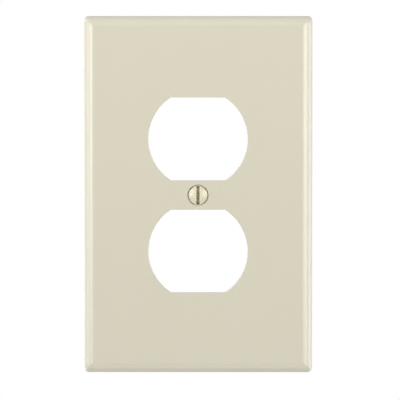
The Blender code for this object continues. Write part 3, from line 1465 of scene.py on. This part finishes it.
@dataclass(frozen=True)
class Studio:
    """A white room with a pale floor and soft boxes.

    Attributes:
        floor_z: Height of the floor.
        boxes: The lights.
        front: The room's brightness in front of the plate, below and above.
        rear: Its brightness behind the plate, below and above.
        fade_height: Height of a unit direction, above and below level, over which it changes.
        fade_side: Depth of a unit direction, in front and behind, over which it changes.
        floor_radius: Radius of the floor.
        floor_grey: How pale the floor is.
        floor_glow: How much light of its own it shows, so that it stays pale in every view.
    """

    floor_z: float
    boxes: tuple[SoftBox, ...]
    front: tuple[float, float] = (0.33, 0.0)
    rear: tuple[float, float] = (0.88, 0.6)
    fade_height: float = 0.15
    fade_side: float = 0.1
    floor_radius: float = 1.2
    floor_grey: float = 0.25
    floor_glow: float = 0.7

    def build(self) -> None:
        """Make the world, the floor and the lights."""
        self.paint_world()
        self.lay_floor()
        for box in self.boxes:
            box.build()
        bpy.context.scene.view_settings.view_transform = "Standard"

    def paint_world(self) -> None:
        """White where it is seen, and a soft uneven light where it falls on things."""
        world = bpy.data.worlds.new("studio")
        world.use_nodes = True
        bpy.context.scene.world = world
        nodes = world.node_tree.nodes
        links = world.node_tree.links
        white = (1.0, 1.0, 1.0, 1.0)
        seen = nodes["Background"]
        seen.inputs["Color"].default_value = white
        lit = nodes.new("ShaderNodeBackground")
        lit.inputs["Color"].default_value = white
        place = nodes.new("ShaderNodeTexCoord")
        way = nodes.new("ShaderNodeSeparateXYZ")
        links.new(place.outputs["Generated"], way.inputs[0])

        def fade(axis: str, reach: float, low: Level, high: Level) -> bpy.types.NodeSocket:
            """Go from one level to another across the middle of an axis.

            Args:
                axis: X, Y or Z.
                reach: How far from the middle the change starts and ends.
                low: The level before it, or a pattern.
                high: The level after it, or a pattern.

            Returns:
                The level in every direction.
            """
            made = nodes.new("ShaderNodeMapRange")
            made.inputs["From Min"].default_value = -reach
            made.inputs["From Max"].default_value = reach
            links.new(way.outputs[axis], made.inputs["Value"])
            for socket, level in ((made.inputs["To Min"], low), (made.inputs["To Max"], high)):
                if isinstance(level, bpy.types.NodeSocket):
                    links.new(level, socket)
                else:
                    socket.default_value = level
            return made.outputs[0]

        front = fade("Z", self.fade_height, *self.front)
        rear = fade("Z", self.fade_height, *self.rear)
        links.new(fade("Y", self.fade_side, front, rear), lit.inputs["Strength"])
        pick = nodes.new("ShaderNodeMixShader")
        path = nodes.new("ShaderNodeLightPath")
        links.new(path.outputs["Is Camera Ray"], pick.inputs[0])
        links.new(lit.outputs[0], pick.inputs[1])
        links.new(seen.outputs[0], pick.inputs[2])
        links.new(pick.outputs[0], nodes["World Output"].inputs["Surface"])

    def lay_floor(self) -> bpy.types.Object:
        """Lay a round pale floor, below the plate, that sends no light back up.

        Returns:
            The floor.
        """
        builder = bmesh.new()
        bmesh.ops.create_circle(builder, cap_ends=True, segments=96, radius=self.floor_radius)
        mesh = bpy.data.meshes.new("floor")
        builder.to_mesh(mesh)
        builder.free()
        mesh.transform(Matrix.Translation((0.0, 0.0, self.floor_z)))
        sheet = FinishSheet("pale_floor")
        grey = self.floor_grey
        sheet.set(Base_Color=(grey, grey, grey, 1.0), Roughness=0.8)
        sheet.set(Emission_Color=(1.0, 1.0, 1.0, 1.0), Emission_Strength=self.floor_glow)
        mesh.materials.append(sheet.material)
        floor = link("floor", mesh)
        floor.visible_diffuse = False
        floor.visible_glossy = False
        floor.visible_shadow = False
        return floor


@dataclass(frozen=True)
class Camera:
    """A long lens almost straight in front of the plate.

    Attributes:
        face_depth: Depth of the plate's flat front.
        focal: Focal length in millimetres.
        sensor: Width of the camera's sensor in millimetres.
        field: Height of the part of the face's plane that fills the picture.
        aim: The point of that plane, x and z, in the picture's middle.
        azimuth: How far the camera stands to the right of straight ahead, in degrees.
        elevation: How far it stands above straight ahead, in degrees.
    """

    face_depth: float
    focal: float = 400.0
    sensor: float = 36.0
    field: float = 138.45 * MM
    aim: tuple[float, float] = (0.70 * MM, -1.64 * MM)
    azimuth: float = 0.4
    elevation: float = 3.0

    def build(self) -> None:
        """Set the camera up and make it the scene's own."""
        lens = bpy.data.cameras.new("camera")
        lens.lens = self.focal
        lens.sensor_width = self.sensor
        distance = self.field * self.focal / self.sensor
        lens.clip_start = 0.1 * distance
        lens.clip_end = 20.0 * distance
        aim = Vector((self.aim[0], -self.face_depth, self.aim[1]))
        made = bpy.data.objects.new("camera", lens)
        made.location = aim + distance * towards(self.azimuth, self.elevation)
        level = math.pi / 2
        made.rotation_euler = (level - math.radians(self.elevation), 0.0, math.radians(self.azimuth))
        bpy.context.scene.collection.objects.link(made)
        bpy.context.scene.camera = made


def main() -> None:
    """Build the studio and the two pieces, in order."""
    logging.basicConfig(level=logging.INFO, format="%(message)s")
    plate_low, plate_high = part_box(PLATE_NODE)
    screw_low, screw_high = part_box(SCREW_NODE)
    face_depth = -plate_low.y
    Camera(face_depth).build()
    boxes = (
        SoftBox("left_box", -43.0, 10.0, 1.0, (0.4, 0.6), 6.1),
        SoftBox("left_flank", -78.0, 6.0, 1.0, (0.42, 0.6), 3.0),
        SoftBox("left_rim", -100.0, 30.0, 1.0, (0.45, 0.6), 2.8),
        SoftBox("left_rear", -150.0, 0.0, 1.0, (0.6, 1.0), 0.7),
        SoftBox("right_box", 40.5, 10.0, 1.0, (0.5, 0.6), 4.7),
        SoftBox("right_flank", 60.0, 3.0, 1.0, (0.2, 0.6), 4.5),
        SoftBox("right_rim", 98.0, 0.0, 1.0, (0.45, 0.6), 2.6),
        SoftBox("overhead", 0.0, 58.0, 0.47, (0.6, 0.5), 0.8),
        SoftBox("underneath", 0.0, -62.0, 1.0, (0.8, 0.5), 0.9),
    )
    Studio(plate_low.z - FLOOR_DROP, boxes).build()
    front = MouldedPlastic(
        "almond_front", (0.664, 0.629, 0.501), (0.659, 0.624, 0.496), (0.622, 0.585, 0.456)
    )
    back = MouldedPlastic(
        "almond_back",
        (0.70, 0.66, 0.53),
        (0.675, 0.635, 0.505),
        (0.58, 0.54, 0.41),
        gloss=0.42,
        satin=0.58,
        polish=0.0,
        tool_marks=0.004 * MM,
    )
    width = plate_high.x - plate_low.x
    length = plate_high.z - plate_low.z
    plate = WallPlate(width, length, face_depth, front, back).build()
    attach(plate, "plate")
    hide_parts(PLATE_NODE)
    log.info("plate: %d faces", len(plate.data.polygons))
    head_paint = HeadPaint()
    # The slot's paint is darker than the head's, as painted shade inside the slot, and its ends get a
    # darker painted shade.
    shaded_slot_paint = HeadPaint(
        "shaded_slot_paint", (0.6, 0.56, 0.385), (0.53, 0.49, 0.325), coat=0.0, bare_metal_and_slot_end_shade=(0.22, 0.19, 0.11)
    )
    ends = (-screw_low.y, -screw_high.y)
    screw = MountingScrew(*ends, head_paint, shaded_slot_paint, ZincPlate()).build()
    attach(screw, "screw")
    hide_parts(SCREW_NODE)
    log.info("screw: %d faces", len(screw.data.polygons))


if __name__ == "__main__":
    main()
